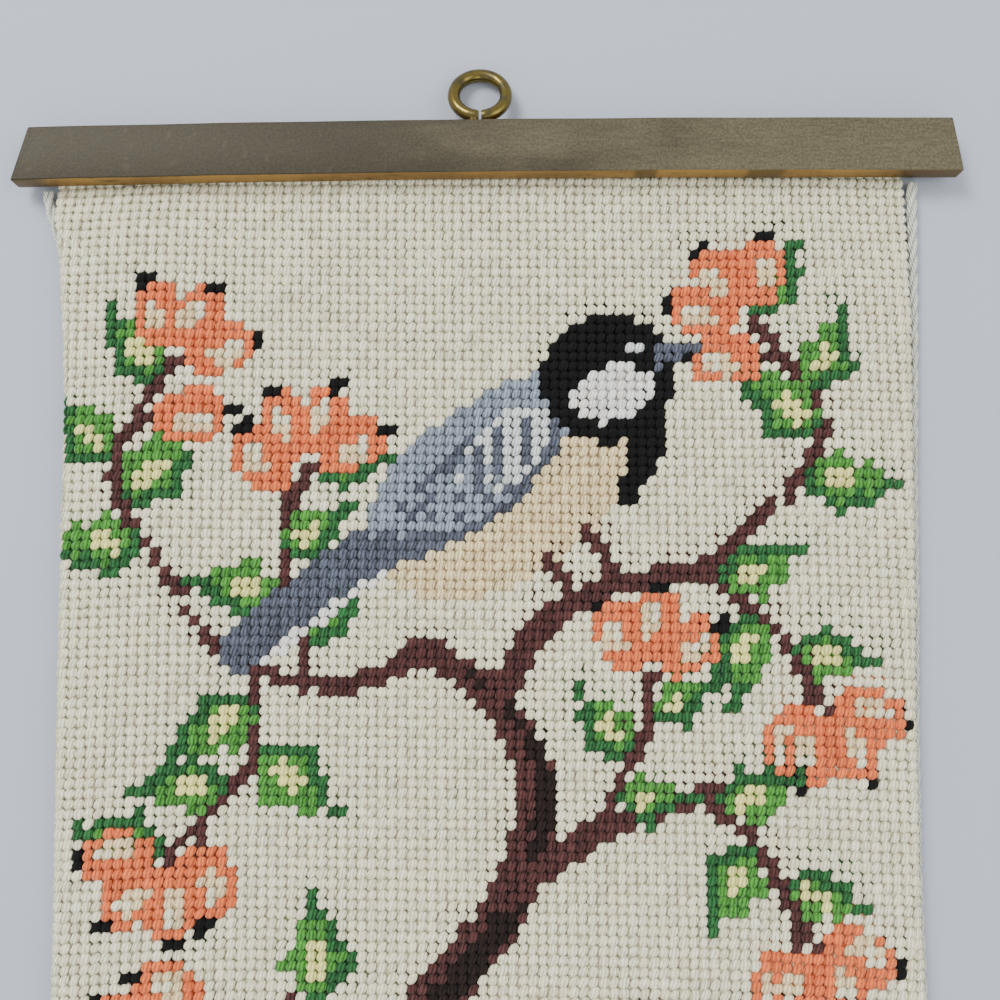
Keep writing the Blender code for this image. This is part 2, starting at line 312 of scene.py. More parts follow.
def outlineAt(below, column):
    # one column of the outline's table at distances below the bar, its corners eased
    spread = (-2.4, -1.2, 0.0, 1.2, 2.4)
    places, values = outlineRows[:, 0], outlineRows[:, column]
    found = [np.interp(np.asarray(below) / mm + step, places, values) for step in spread]
    return sum(found) / len(spread)


def liftShare(distance):
    return smoothStep((cloth["sag"] - distance) / (cloth["sag"] - cloth["hem"]))


def faceHeight(x, below):
    # height of the worked face before it turns down at an edge
    toLeft = x - cloth["centreX"] + outlineAt(below, 1) * mm
    toRight = outlineAt(below, 2) * mm - x + cloth["centreX"]
    toEnd = cloth["length"] - below
    side = liftShare(toLeft) * outlineAt(below, 5) + liftShare(toRight) * outlineAt(below, 6)
    lift = cloth["hemLift"] * np.maximum(side, liftShare(toEnd))
    nearest = np.minimum(np.minimum(toLeft, toRight), toEnd)
    uneven = 0
    for riseX, riseBelow, halfWidth, halfLength, rise in riseRows:
        away = np.hypot((x / mm - riseX) / halfWidth, (below / mm - riseBelow) / halfLength)
        uneven = uneven + rise * mm * smoothStep(1 - away)
    return cloth["sheet"] + lift + uneven * smoothStep(nearest / cloth["sag"])


def belowAt(column, row):
    # distance below the bar of a place on the canvas: rows run down to the right and hang at both edges
    down = row * cloth["pitch"]
    slope = np.interp(down / mm, cloth["slopePlaces"], cloth["slopes"]) * mm
    across = (column - cloth["columns"] / 2) * cloth["pitch"]
    (left, leftColumns), (right, rightColumns) = cloth["hang"]
    droop = left * smoothStep((leftColumns - column) / leftColumns)
    droop = droop + right * smoothStep((column - (cloth["columns"] - rightColumns)) / rightColumns)
    share = smoothStep((cloth["length"] - down) / cloth["evenEnd"])
    return down + (across / cloth["slopeReach"] * slope + droop) * share


def onCanvas(column, row, inward=0.0):
    # points on the canvas's outer side, which goes round the folded edges, or that far inside it
    below = belowAt(column, row)
    across = (column - cloth["columns"] / 2) * cloth["pitch"]
    fold = cloth["fold"]
    reach = np.where(across < 0, outlineAt(below, 1), outlineAt(below, 2)) * mm - fold
    pastSide = np.maximum(np.abs(across) - reach, 0)
    pastEnd = np.maximum(below - (cloth["length"] - fold), 0)
    way = np.sign(across)
    flatX = cloth["centreX"] + way * np.minimum(np.abs(across), reach)
    flatBelow = np.minimum(below, cloth["length"] - fold)
    past = np.hypot(pastSide, pastEnd)
    angle = np.minimum(past / fold, np.pi)
    under = np.maximum(past - np.pi * fold, 0)
    safe = np.maximum(past, 1e-9)
    outX, outBelow = way * pastSide / safe, pastEnd / safe
    radius = fold - inward
    height = faceHeight(flatX, flatBelow) - fold
    outward = radius * np.sin(angle) - under
    return np.stack([
        flatX + outX * outward,
        cloth["barLowY"] - flatBelow - outBelow * outward,
        height + radius * np.cos(angle),
    ], -1), past


def linear(text):
    # a colour written as six hex digits, as the renderer takes it
    parts = [int(text[i:i + 2], 16) / 255 for i in (0, 2, 4)]
    return tuple(p / 12.92 if p <= 0.04045 else ((p + 0.055) / 1.055) ** 2.4 for p in parts) + (1.0,)


class Flow:
    # one output of a node, with sums written as Python expressions
    def __init__(self, tree, socket):
        self.tree, self.socket = tree, socket

    def node(self, kind, settings=None, values=None, out=None):
        return addNode(self.tree, kind, settings, values, out)

    def calc(self, operation, *others):
        values = dict(enumerate((self, *others)))
        return self.node("ShaderNodeMath", {"operation": operation}, values)

    def swapped(self, operation, other):
        return self.node("ShaderNodeMath", {"operation": operation}, {0: other, 1: self})

    def __add__(self, other):
        return self.calc("ADD", other)

    def __sub__(self, other):
        return self.calc("SUBTRACT", other)

    def __mul__(self, other):
        return self.calc("MULTIPLY", other)

    def __truediv__(self, other):
        return self.calc("DIVIDE", other)

    def __rsub__(self, other):
        return self.swapped("SUBTRACT", other)

    def __pow__(self, other):
        return self.calc("POWER", other)

    __radd__ = __add__
    __rmul__ = __mul__

    def kept(self, low, high):
        # held within these limits
        return self.calc("MAXIMUM", low).calc("MINIMUM", high)

    def between(self, low, high):
        # 0 below low, 1 above high, eased between
        return self.node("ShaderNodeMapRange", {"interpolation_type": "SMOOTHSTEP"},
                         {"Value": self, "From Min": low, "From Max": high, "To Min": 0.0, "To Max": 1.0})

    def mixed(self, first, second):
        # first colour where this is 0, second where it is 1
        return self.node("ShaderNodeMix", {"data_type": "RGBA"}, {"Factor": self, "A": first, "B": second})


def pick(sockets, key):
    # a socket by its place or by its name, of those in use
    if isinstance(key, int):
        return [s for s in sockets if s.enabled][key]
    return next(s for s in sockets if s.enabled and s.name == key)


def addNode(tree, kind, settings=None, values=None, out=None):
    made = tree.nodes.new(kind)
    for name, value in (settings or {}).items():
        if name == "stops":
            ramp = made.color_ramp
            while len(ramp.elements) < len(value):
                ramp.elements.new(0.5)
            for element, (place, colour) in zip(ramp.elements, value):
                element.position, element.color = place, colour
        else:
            setattr(made, name, value)
    for key, value in (values or {}).items():
        socket = pick(made.inputs, key)
        if isinstance(value, Flow):
            tree.links.new(value.socket, socket)
        else:
            socket.default_value = value
    return Flow(tree, pick(made.outputs, out or 0)) if made.outputs else None


def newMaterial(name, fixed):
    # a material whose even values sit on the shader's own sockets
    material = bpy.data.materials.new(name)
    material.use_nodes = True
    shader = material.node_tree.nodes["Principled BSDF"]
    for key, value in fixed.items():
        shader.inputs[key].default_value = value
    return material, material.node_tree, shader


def feed(shader, name, flow):
    shader.id_data.links.new(flow.socket, shader.inputs[name])


def bump(tree, height, distance, strength=1.0):
    return addNode(tree, "ShaderNodeBump", None,
                   {"Height": height, "Distance": distance, "Strength": strength}, "Normal")


def noise(tree, vector, scale, detail=2.0, roughness=0.5):
    return addNode(tree, "ShaderNodeTexNoise", None,
                   {"Vector": vector, "Scale": scale, "Detail": detail, "Roughness": roughness}, "Fac")


def mapped(tree, vector, scale=(1, 1, 1), location=(0, 0, 0), rotation=(0, 0, 0)):
    return addNode(tree, "ShaderNodeMapping", None,
                   {"Vector": vector, "Scale": scale, "Location": location, "Rotation": rotation})


def uvOf(tree, name):
    return addNode(tree, "ShaderNodeUVMap", {"uv_map": name}, None, "UV")


def placeOf(tree):
    return addNode(tree, "ShaderNodeTexCoord", None, None, "Object")


def parts(tree, vector):
    flows = addNode(tree, "ShaderNodeSeparateXYZ", None, {0: vector}, "X")
    made = flows.socket.node
    return [Flow(tree, made.outputs[name]) for name in ("X", "Y", "Z")]


def together(tree, x, y, z=0.0):
    return addNode(tree, "ShaderNodeCombineXYZ", None, {"X": x, "Y": y, "Z": z})


def newObject(name, data):
    made = bpy.data.objects.new(name, data)
    bpy.context.scene.collection.objects.link(made)
    return made


def meshObject(name, points, faces):
    mesh = bpy.data.meshes.new(name)
    mesh.from_pydata([tuple(p) for p in points], [], faces)
    mesh.validate()
    mesh.shade_smooth()
    return newObject(name, mesh)


def objectFrom(work, name):
    # an object from a mesh that is being worked on, which is freed
    mesh = bpy.data.meshes.new(name)
    work.to_mesh(mesh)
    work.free()
    return newObject(name, mesh)


def startTree(name, sockets):
    # a node tree with a geometry in and out and named inputs
    tree = bpy.data.node_groups.new(name, "GeometryNodeTree")
    tree.interface.new_socket(name="Geometry", in_out="INPUT", socket_type="NodeSocketGeometry")
    for label, kind in sockets.items():
        tree.interface.new_socket(name=label, in_out="INPUT", socket_type=kind)
    tree.interface.new_socket(name="Geometry", in_out="OUTPUT", socket_type="NodeSocketGeometry")
    entry = tree.nodes.new("NodeGroupInput")
    return tree, {s.name: Flow(tree, s) for s in entry.outputs if s.name}


def endTree(tree, geometry, material):
    real = addNode(tree, "GeometryNodeRealizeInstances", None, {"Geometry": geometry})
    done = addNode(tree, "GeometryNodeSetMaterial", None, {"Geometry": real, "Material": material})
    leave = tree.nodes.new("NodeGroupOutput")
    tree.links.new(done.socket, leave.inputs["Geometry"])


def grow(host, tree, values, name):
    # runs a tree on a host and returns its result as a plain mesh piece
    modifier = host.modifiers.new("grow", "NODES")
    modifier.node_group = tree
    for item in tree.interface.items_tree:
        if item.in_out == "INPUT" and item.name in values:
            modifier[item.identifier] = values[item.name]
    bpy.context.view_layer.update()
    evaluated = host.evaluated_get(bpy.context.evaluated_depsgraph_get())
    mesh = bpy.data.meshes.new_from_object(evaluated)
    mesh.name = name
    bpy.data.objects.remove(host)
    return newObject(name, mesh)


def finishModifiers(piece):
    # turns a piece's modifiers into its mesh
    evaluated = piece.evaluated_get(bpy.context.evaluated_depsgraph_get())
    mesh = bpy.data.meshes.new_from_object(evaluated)
    piece.modifiers.clear()
    piece.data = mesh
    return piece


def clean(piece, angle=None):
    # merges doubles and turns every face outwards
    work = bmesh.new()
    work.from_mesh(piece.data)
    bmesh.ops.remove_doubles(work, verts=work.verts, dist=1e-7)
    bmesh.ops.recalc_face_normals(work, faces=work.faces)
    work.to_mesh(piece.data)
    work.free()
    piece.data.shade_smooth()
    if angle:
        piece.data.set_sharp_from_angle(angle=math.radians(angle))
    return piece


stitchLook = {
    "length": 2.86 * mm,
    "halfWidth": 1.03 * mm,
    "halfHeight": 0.57 * mm,
    "arch": 0.55 * mm,  # how far the ends dip into the canvas
    "lean": 54.0,  # degrees up from the row
    "sink": 0.48 * mm,  # the stitch's middle line below the canvas's outer side
    "turn": 0.15,
    "sizeChange": 0.10,
    "uneven": 0.26 * mm,
    "unevenScale": 620.0,
    "fibreDepth": 0.34 * mm,
    "stray": 0.035 * mm,  # how far stitches lie out of line
    "strayOut": 0.04 * mm,
    "extraRows": 2,  # past the first and the last row of the design
    "pastFold": 0.9 * mm,  # stitches go this far round to the back
    "groundPieces": 4,
    "seed": 4,
}
stitchSides = (-20, 35, 90, 145, 200)  # degrees round the strand, flat underneath
stitchRings = ((-0.41, 0.70), (-0.16, 0.98), (0.16, 1.0), (0.41, 0.72))  # place along, share of full size


def makeStitch():
    # one stitch of wool, which runs along X and bulges to +Z
    points, faces = [(-0.5, 0, 0)], []
    for place, size in stitchRings:
        for angle in stitchSides:
            a = math.radians(angle)
            points.append((place, size * math.cos(a), size * math.sin(a)))
    points.append((0.5, 0, 0))
    sides, last = len(stitchSides), len(points) - 1
    for k in range(sides):
        n = (k + 1) % sides
        faces.append((0, 1 + n, 1 + k))
        for ring in range(len(stitchRings) - 1):
            a = 1 + ring * sides
            faces.append((a + k, a + n, a + sides + n, a + sides + k))
        a = 1 + (len(stitchRings) - 1) * sides
        faces.append((last, a + k, a + n))
    shaped = []
    for x, y, z in points:
        dip = stitchLook["arch"] * (2 * x) ** 2
        shaped.append((x * stitchLook["length"], y * stitchLook["halfWidth"],
                       z * stitchLook["halfHeight"] - dip))
    made = meshObject("stitchShape", shaped, faces)
    clean(made)
    return made, points


def stitchTree():
    tree, given = startTree("wool stitches", {
        "Stitch": "NodeSocketObject", "Turn": "NodeSocketFloat", "Smallest": "NodeSocketVector",
        "Largest": "NodeSocketVector", "Seed": "NodeSocketInt", "Uneven": "NodeSocketFloat",
        "Wool": "NodeSocketMaterial",
    })
    outward = addNode(tree, "GeometryNodeInputNamedAttribute", {"data_type": "FLOAT_VECTOR"},
                      {"Name": "outward"})
    along = addNode(tree, "GeometryNodeInputNamedAttribute", {"data_type": "FLOAT_VECTOR"},
                    {"Name": "along"})
    facing = addNode(tree, "FunctionNodeAxesToRotation", {"primary_axis": "Z", "secondary_axis": "X"},
                     {"Primary Axis": outward, "Secondary Axis": along})
    turn = addNode(tree, "FunctionNodeRandomValue", {"data_type": "FLOAT"},
                   {"Min": 0 - given["Turn"], "Max": given["Turn"], "Seed": given["Seed"]})
    twist = addNode(tree, "FunctionNodeAxisAngleToRotation", None, {"Axis": (0, 0, 1), "Angle": turn})
    turned = addNode(tree, "FunctionNodeRotateRotation", {"rotation_space": "LOCAL"},
                     {"Rotation": facing, "Rotate By": twist})
    size = addNode(tree, "FunctionNodeRandomValue", {"data_type": "FLOAT_VECTOR"},
                   {"Min": given["Smallest"], "Max": given["Largest"], "Seed": given["Seed"] + 7})
    shape = addNode(tree, "GeometryNodeObjectInfo", None, {"Object": given["Stitch"]}, "Geometry")
    placed = addNode(tree, "GeometryNodeInstanceOnPoints", None, {
        "Points": given["Geometry"], "Instance": shape, "Rotation": turned, "Scale": size})
    real = addNode(tree, "GeometryNodeRealizeInstances", None, {"Geometry": placed})
    waves = addNode(tree, "ShaderNodeTexNoise", None, {"Scale": stitchLook["unevenScale"], "Detail": 1.0},
                    "Color")
    centred = addNode(tree, "ShaderNodeVectorMath", {"operation": "SUBTRACT"},
                      {0: waves, 1: (0.5, 0.5, 0.5)})
    pushed = addNode(tree, "ShaderNodeVectorMath", {"operation": "SCALE"},
                     {"Vector": centred, "Scale": given["Uneven"]})
    softened = addNode(tree, "GeometryNodeSetPosition", None, {"Geometry": real, "Offset": pushed})
    endTree(tree, softened, given["Wool"])
    return tree


def stitchPlaces():
    # middle, outward side, run and yarn of every stitch that shows
    extra = stitchLook["extraRows"]
    rows = np.arange(-extra, cloth["rows"] + extra)
    column, row = (a.ravel() + 0.5 for a in np.meshgrid(np.arange(cloth["columns"]), rows))
    draw = np.random.default_rng(stitchLook["seed"])
    middle, past = onCanvas(column, row, stitchLook["sink"])
    step = 0.2
    acrossStep = (onCanvas(column + step, row)[0] - onCanvas(column - step, row)[0]) / (2 * step)
    downStep = (onCanvas(column, row + step)[0] - onCanvas(column, row - step)[0]) / (2 * step)
    outward = np.cross(acrossStep, -downStep)
    outward /= np.linalg.norm(outward, axis=1, keepdims=True)
    lean = math.radians(stitchLook["lean"])
    along = acrossStep * math.cos(lean) - downStep * math.sin(lean)
    along /= np.linalg.norm(along, axis=1, keepdims=True)
    middle += draw.normal(0, stitchLook["stray"], middle.shape)
    middle += outward * draw.normal(0, stitchLook["strayOut"], (len(column), 1))
    shade = draw.normal(0, 0.5, len(column))
    tint = draw.normal(0, 0.5, len(column))
    yarn = chart[np.clip(row.astype(int), 0, cloth["rows"] - 1), column.astype(int)]
    yarn = np.where((row < 0) | (row > cloth["rows"]), 0, yarn)
    shown = past < math.pi * cloth["fold"] + stitchLook["pastFold"]
    return [a[shown] for a in (middle, outward, along, shade, tint, yarn)]


def stitchMaps(piece, shape, flatPoints):
    # wool lines along each stitch, and a cell of its own for each in the map the finish is baked on
    source = shape.data
    loops = np.array([loop.vertex_index for loop in source.loops])
    along = np.array([p[0] + 0.5 for p in flatPoints])
    sides = len(stitchSides)
    around = np.zeros(len(loops))
    for face in source.polygons:
        ids = [source.loops[i].vertex_index for i in face.loop_indices]
        ring = [(i - 1) % sides for i in ids if 0 < i < len(flatPoints) - 1]
        wraps = 0 in ring and sides - 1 in ring
        for place, i in zip(face.loop_indices, ids):
            if 0 < i < len(flatPoints) - 1:
                k = (i - 1) % sides
                around[place] = k + (sides if wraps and k == 0 else 0)
            else:
                around[place] = sum(k + (sides if wraps and k == 0 else 0) for k in ring) / len(ring)
    one = np.stack([along[loops], around / sides], 1)
    count = len(piece.data.vertices) // len(flatPoints)
    every = np.tile(one, (count, 1))
    which = np.repeat(np.arange(count), len(loops))
    wool = every + 2.0 * np.stack([which % 61, which // 61], 1)
    piece.data.uv_layers.new(name="wool").data.foreach_set("uv", wool.ravel().astype(np.float32))
    cells = math.ceil(math.sqrt(count))
    inCell = 0.06 + 0.88 * every
    baked = (inCell + np.stack([which % cells, which // cells], 1)) / cells
    piece.data.uv_layers.new(name="OFBake").data.foreach_set("uv", baked.ravel().astype(np.float32))


# each yarn's colour, and how far its strands stray from it, in random tone and in the painted shade of its
# ply grooves
yarnLook = {
    "ground": ("F6ECC6", 0.09), "black": ("070708", 0.10), "slate": ("505664", 0.16),
    "blueGrey": ("8893A0", 0.12), "paleGrey": ("D4DAD6", 0.10), "white": ("F2F0E2", 0.08),
    "buff": ("F0D2A0", 0.10), "darkGreen": ("245E2E", 0.16), "midGreen": ("428A2C", 0.15),
    "paleYellow": ("F0EC8C", 0.10), "orange": ("F0703A", 0.11), "peach": ("F4D0A0", 0.10),
    "maroon": ("4C2A28", 0.16), "darkBrown": ("20120C", 0.16), "taupe": ("8C7864", 0.14),
}
woolFixed = {"Roughness": 0.9, "Sheen Weight": 0.16, "Sheen Roughness": 0.5, "Specular IOR Level": 0.2}
dullWool = {"black": 0.01, "darkBrown": 0.04, "maroon": 0.06, "darkGreen": 0.08}  # sheen of the dark yarns


def woolMaterial(name):
    colour, change = yarnLook[name]
    base = np.array(linear(colour)[:3])
    material, tree, shader = newMaterial(name + "Wool", woolFixed)
    shader.inputs["Sheen Weight"].default_value = dullWool.get(name, woolFixed["Sheen Weight"])
    uv = uvOf(tree, "wool")
    u, v, _ = parts(tree, uv)
    plyRidgesAndGrooveShade = ((v * 5.0 + u * 1.3) * math.pi).calc("SINE").calc("ABSOLUTE")
    fibre = noise(tree, mapped(tree, uv, (4, 26, 1), rotation=(0, 0, 0.12)), 1.0, 3.0, 0.65)
    patchy = noise(tree, mapped(tree, uv, (1.6, 2.2, 1)), 1.0, 1.0)
    shade = addNode(tree, "ShaderNodeAttribute", {"attribute_name": "shade"}, None, "Fac")
    tint = addNode(tree, "ShaderNodeAttribute", {"attribute_name": "tint"}, None, "Fac")
    # the ply term darkens the wool in the grooves between its plies: painted shade. The other terms vary
    # the tone at random.
    factor = 0.5 + shade * 0.2 + (plyRidgesAndGrooveShade - 0.64) + (fibre - 0.5) * 3.4 + (patchy - 0.5) * 1.2
    deep = base * (1 - 4.6 * change)
    light = np.minimum(base * (1 + 3.4 * change) + 0.003, 1)
    mixed = factor.kept(0.0, 1.0).mixed((*deep, 1), (*light, 1))
    warm = base * (1.05, 0.99, 0.95)
    warmth = (tint * 0.22 + 0.12).kept(0.0, 0.5)
    feed(shader, "Base Color", warmth.mixed(mixed, (*np.minimum(warm, 1), 1)))
    height = plyRidgesAndGrooveShade ** 0.7 * 0.5 + fibre * 0.9
    feed(shader, "Normal", bump(tree, height, stitchLook["fibreDepth"]))
    return material


def makeStitches():
    shape, flatPoints = makeStitch()
    tree = stitchTree()
    middle, outward, along, shade, tint, yarn = stitchPlaces()
    groups = []
    for i, name in enumerate(yarnNames):
        chosen = np.flatnonzero(yarn == i)
        bands = stitchLook["groundPieces"] if name == "ground" else 1
        for band, share in enumerate(np.array_split(chosen, bands)):
            groups.append((name, name + "Stitches" + (str(band + 1) if bands > 1 else ""), share))
    made = []
    woolOf = {name: woolMaterial(name) for name in yarnNames}
    change = stitchLook["sizeChange"]
    for name, label, chosen in groups:
        host = meshObject(label + "Host", middle[chosen], [])
        for key, values, kind in (("outward", outward, "FLOAT_VECTOR"), ("along", along, "FLOAT_VECTOR"),
                                  ("shade", shade, "FLOAT"), ("tint", tint, "FLOAT")):
            layer = host.data.attributes.new(key, kind, "POINT")
            layer.data.foreach_set("vector" if kind == "FLOAT_VECTOR" else "value",
                                   values[chosen].ravel().astype(np.float32))
        piece = grow(host, tree, {
            "Stitch": shape, "Turn": stitchLook["turn"], "Seed": stitchLook["seed"], "Wool": woolOf[name],
            "Uneven": stitchLook["uneven"],
            "Smallest": (1 - change, 1 - change, 1 - change),
            "Largest": (1 + change, 1 + 1.6 * change, 1 + change),
        }, label)
        for key in ("outward", "along"):
            piece.data.attributes.remove(piece.data.attributes[key])
        stitchMaps(piece, shape, flatPoints)
        made.append(piece)
    bpy.data.objects.remove(shape)
    print(f"{len(yarn)} stitches in {len(made)} pieces")
    return made


canvasLook = {
    "inside": 1.05 * mm,  # its face lies this far under the stitches' outer side
    "clear": 0.05 * mm,
    # painted shadow in the holes between the canvas threads
    "hole": "6E6149",
    "hemThread": "C9BC98",
    "threadDepth": 0.35 * mm,
    # sections over a hem, measured in from the edge, closer together at its bends
    "rim": (0.0, 0.1, 0.32, 0.62, 1.4, 2.3, 2.6, 4.3, 6.4, 8.5, 10.4, 11.2, 11.5, 13.4),
    "middleParts": 85,
    "rowsUnderBar": 4,
    "rowsOverHem": 6,
    # millimetres left free under an edge for its cord, less what the cord shows, and the least
    "cordRoom": 2.5,
    "leastRoom": 1.2,
    "dark": 0.6,  # yarns whose red, green and blue add up to less than this
}


def canvasColumns(below):
    # places across one section, closer together over the hems
    reachLeft = outlineAt(below, 1) * mm - canvasLook["inside"]
    reachRight = outlineAt(below, 2) * mm - canvasLook["inside"]
    rim = canvasLook["rim"]
    inner = np.linspace(-1, 1, canvasLook["middleParts"] + 1)[1:-1]
    left = [-reachLeft + step * mm for step in rim]
    right = [reachRight - step * mm for step in rim[::-1]]
    start, stop = left[-1], right[0]
    middle = [start + (stop - start) * (t + 1) / 2 for t in inner]
    return np.array(left + middle + right) + cloth["centreX"]


def underStitches():
    # the canvas takes a dark yarn's colour one stitch further out, so nothing pale shows in the dark parts
    brightness = np.array([sum(linear(yarnLook[name][0])[:3]) for name in yarnNames])
    order = np.where(brightness < canvasLook["dark"], brightness, brightness.max())
    padded = np.pad(chart, 1, mode="edge")
    rows, columns = chart.shape
    near = [chart] + [padded[i:i + rows, j:j + columns] for i in range(3) for j in range(3)]
    near = np.stack(near)
    return np.take_along_axis(near, order[near].argmin(0)[None], 0)[0]


def makeCanvas():
    # the canvas itself: its face under the stitches, its back with the wool's other side, and its hems
    inside, clear = canvasLook["inside"], canvasLook["clear"]
    end = cloth["length"] - inside
    plainRows = np.arange(-canvasLook["rowsUnderBar"], cloth["rows"] - canvasLook["rowsOverHem"])
    rowsDown = [-cloth["tuckedUp"], *(plainRows * cloth["pitch"])]
    rowsDown += [end - step * mm for step in canvasLook["rim"][::-1]]
    hemEdge = cloth["hem"] - inside
    room, least = canvasLook["cordRoom"], canvasLook["leastRoom"]
    half = (cloth["sheet"] - inside - clear) / 2
    faceChart = underStitches()
    faceRows, backRows, points, weave, wool = [], [], [], [], []
    for below in rowsDown:
        xs = canvasColumns(below)
        nominal = faceHeight(xs, np.full(len(xs), below))
        toLeft, toRight, toEnd = xs - xs[0], xs[-1] - xs, np.full(len(xs), end - below)
        nearest = np.minimum(np.minimum(toLeft, toRight), toEnd)
        inward = np.maximum(half - nearest, 0)
        drop = half - np.sqrt(np.maximum(half**2 - inward**2, 0))
        top = nominal - inside - drop
        under = nominal - cloth["sheet"] + clear + drop
        grooveLeft = max(room - outlineAt(below, 3), least) * mm
        grooveRight = max(room - outlineAt(below, 4), least) * mm
        inHem = (toLeft > grooveLeft) & (toRight > grooveRight) & (toEnd > least * mm)
        inHem &= nearest < hemEdge + 0.1 * mm
        under = np.where(inHem, clear, under)
        facesHere, backsHere = [], []
        for i, x in enumerate(xs):
            column = (x - cloth["centreX"]) / cloth["pitch"] + cloth["columns"] / 2
            row = below / cloth["pitch"]
            rim = nearest[i] < 1e-7
            facesHere.append(len(points))
            points.append((x, cloth["barLowY"] - below, (top[i] + under[i]) / 2 if rim else top[i]))
            weave.append((column, row))
            c = int(np.clip(column, 0, cloth["columns"] - 1))
            r = int(np.clip(row, 0, cloth["rows"] - 1))
            wool.append((1.0, faceChart[r, c]))
            if rim:
                backsHere.append(facesHere[-1])
                continue
            backsHere.append(len(points))
            points.append((x, cloth["barLowY"] - below, under[i]))
            weave.append((column, row))
            hidden = nearest[i] < hemEdge + 0.5 * mm
            wool.append((0.0 if hidden or below < -2 * mm else 1.0, chart[r, c]))
        faceRows.append(facesHere)
        backRows.append(backsHere)
    faces = []
    for grid, way in ((faceRows, 1), (backRows, -1)):
        for upper, lower in zip(grid, grid[1:]):
            for i in range(len(upper) - 1):
                loop = list(dict.fromkeys((upper[i], lower[i], lower[i + 1], upper[i + 1])[::way]))
                if len(loop) > 2:
                    faces.append(loop)
    for i in range(len(faceRows[0]) - 1):
        loop = list(dict.fromkeys((faceRows[0][i], faceRows[0][i + 1], backRows[0][i + 1], backRows[0][i])))
        if len(loop) > 2:
            faces.append(loop)
    piece = meshObject("canvas", points, faces)
    mesh = piece.data
    ids = np.array([loop.vertex_index for loop in mesh.loops])
    mesh.uv_layers.new(name="weave").data.foreach_set("uv", np.array(weave)[ids].ravel().astype(np.float32))
    share = mesh.attributes.new("woolShare", "FLOAT", "POINT")
    share.data.foreach_set("value", np.array([w[0] for w in wool], np.float32))
    colours = np.array([linear(yarnLook[n][0]) for n in yarnNames])[[w[1] for w in wool]]
    worked = mesh.attributes.new("workedColour", "FLOAT_COLOR", "POINT")
    worked.data.foreach_set("color", colours.ravel().astype(np.float32))
    work = bmesh.new()
    work.from_mesh(mesh)
    bmesh.ops.recalc_face_normals(work, faces=work.faces)
    work.to_mesh(mesh)
    work.free()
    mesh.set_sharp_from_angle(angle=math.radians(50))
    mesh.materials.append(canvasMaterial())
    return piece


def canvasMaterial():
    material, tree, shader = newMaterial("canvasAndWoolBack", {
        "Roughness": 0.9, "Sheen Weight": 0.15, "Specular IOR Level": 0.25})
    u, v, _ = parts(tree, uvOf(tree, "weave"))
    overThread = (u * (2 * math.pi)).calc("COSINE")
    downThread = (v * (2 * math.pi)).calc("COSINE")
    # the holes between the canvas threads are painted dark, as painted shadow, and mixed with the thread
    # colour by noise
    hole = (overThread * -1).calc("MAXIMUM", 0.0) * (downThread * -1).calc("MAXIMUM", 0.0)
    fine = noise(tree, uvOf(tree, "weave"), 9.0, 3.0)
    thread = (hole * 1.3 + (fine - 0.5) * 0.7).kept(0.0, 1.0).mixed(
        linear(canvasLook["hemThread"]), linear(canvasLook["hole"]))
    worked = addNode(tree, "ShaderNodeAttribute", {"attribute_name": "workedColour"}, None, "Color")
    share = addNode(tree, "ShaderNodeAttribute", {"attribute_name": "woolShare"}, None, "Fac")
    long = noise(tree, mapped(tree, uvOf(tree, "weave"), (1.4, 7, 1), rotation=(0, 0, 0.5)), 1.0, 3.0)
    strand = ((v + u * 0.5) * (2 * math.pi)).calc("COSINE")
    # the wool colour under the stitches is darkened along a strand pattern down to 0.45: strand texture,
    # and painted shade in the gaps between stitches
    strandsAndPaintedShade = addNode(tree, "ShaderNodeMix", {"data_type": "RGBA", "blend_type": "MULTIPLY"},
                  {"Factor": 1.0, "A": worked, "B": (strand * 0.25 + long).between(-0.1, 0.9).mixed(
                      (0.45, 0.43, 0.4, 1), (1, 1, 1, 1))})
    cover = share.between(0.4, 0.6)
    feed(shader, "Base Color", cover.mixed(thread, strandsAndPaintedShade))
    threads = (overThread + downThread) * 0.5 + fine * 0.6
    height = (1 - cover) * threads + cover * (strand * 0.6 + long * 1.4)
    feed(shader, "Normal", bump(tree, height, canvasLook["threadDepth"], 0.7))
    return material


cordLook = {
    "strands": 3,
    "strandRadius": 0.62 * mm,
    "strandOffset": 0.66 * mm,
    "lay": 13.0 * mm,  # length of one full turn
    "step": 0.85 * mm,
    "sides": 7,
    "pale": "F0F1E2",
    "deep": "76806A",
}


def cordTree():
    tree, given = startTree("twisted cord", {
        "Lay": "NodeSocketFloat", "Strand Offset": "NodeSocketFloat", "Strand Radius": "NodeSocketFloat",
        "Step": "NodeSocketFloat", "Sides": "NodeSocketInt", "Rayon": "NodeSocketMaterial",
    })
    line = addNode(tree, "GeometryNodeMeshToCurve", None, {"Mesh": given["Geometry"]})
    line = addNode(tree, "GeometryNodeResampleCurve", {"mode": "LENGTH"},
                   {"Curve": line, "Length": given["Step"]})
    travelled = addNode(tree, "GeometryNodeSplineParameter", None, None, "Length")
    ring = addNode(tree, "GeometryNodeCurvePrimitiveCircle", {"mode": "RADIUS"},
                   {"Resolution": given["Sides"], "Radius": given["Strand Radius"]})
    strands = []
    for i in range(cordLook["strands"]):
        angle = travelled / given["Lay"] * (2 * math.pi) + 2 * math.pi * i / cordLook["strands"]
        away = together(tree, angle.calc("COSINE") * given["Strand Offset"], 0.0,
                        angle.calc("SINE") * given["Strand Offset"])
        wound = addNode(tree, "GeometryNodeSetPosition", None, {"Geometry": line, "Offset": away})
        strands.append(addNode(tree, "GeometryNodeCurveToMesh", None,
                               {"Curve": wound, "Profile Curve": ring, "Fill Caps": True}))
    joined = tree.nodes.new("GeometryNodeJoinGeometry")
    for strand in strands:
        tree.links.new(strand.socket, joined.inputs[0])
    endTree(tree, Flow(tree, joined.outputs[0]), given["Rayon"])
    return tree


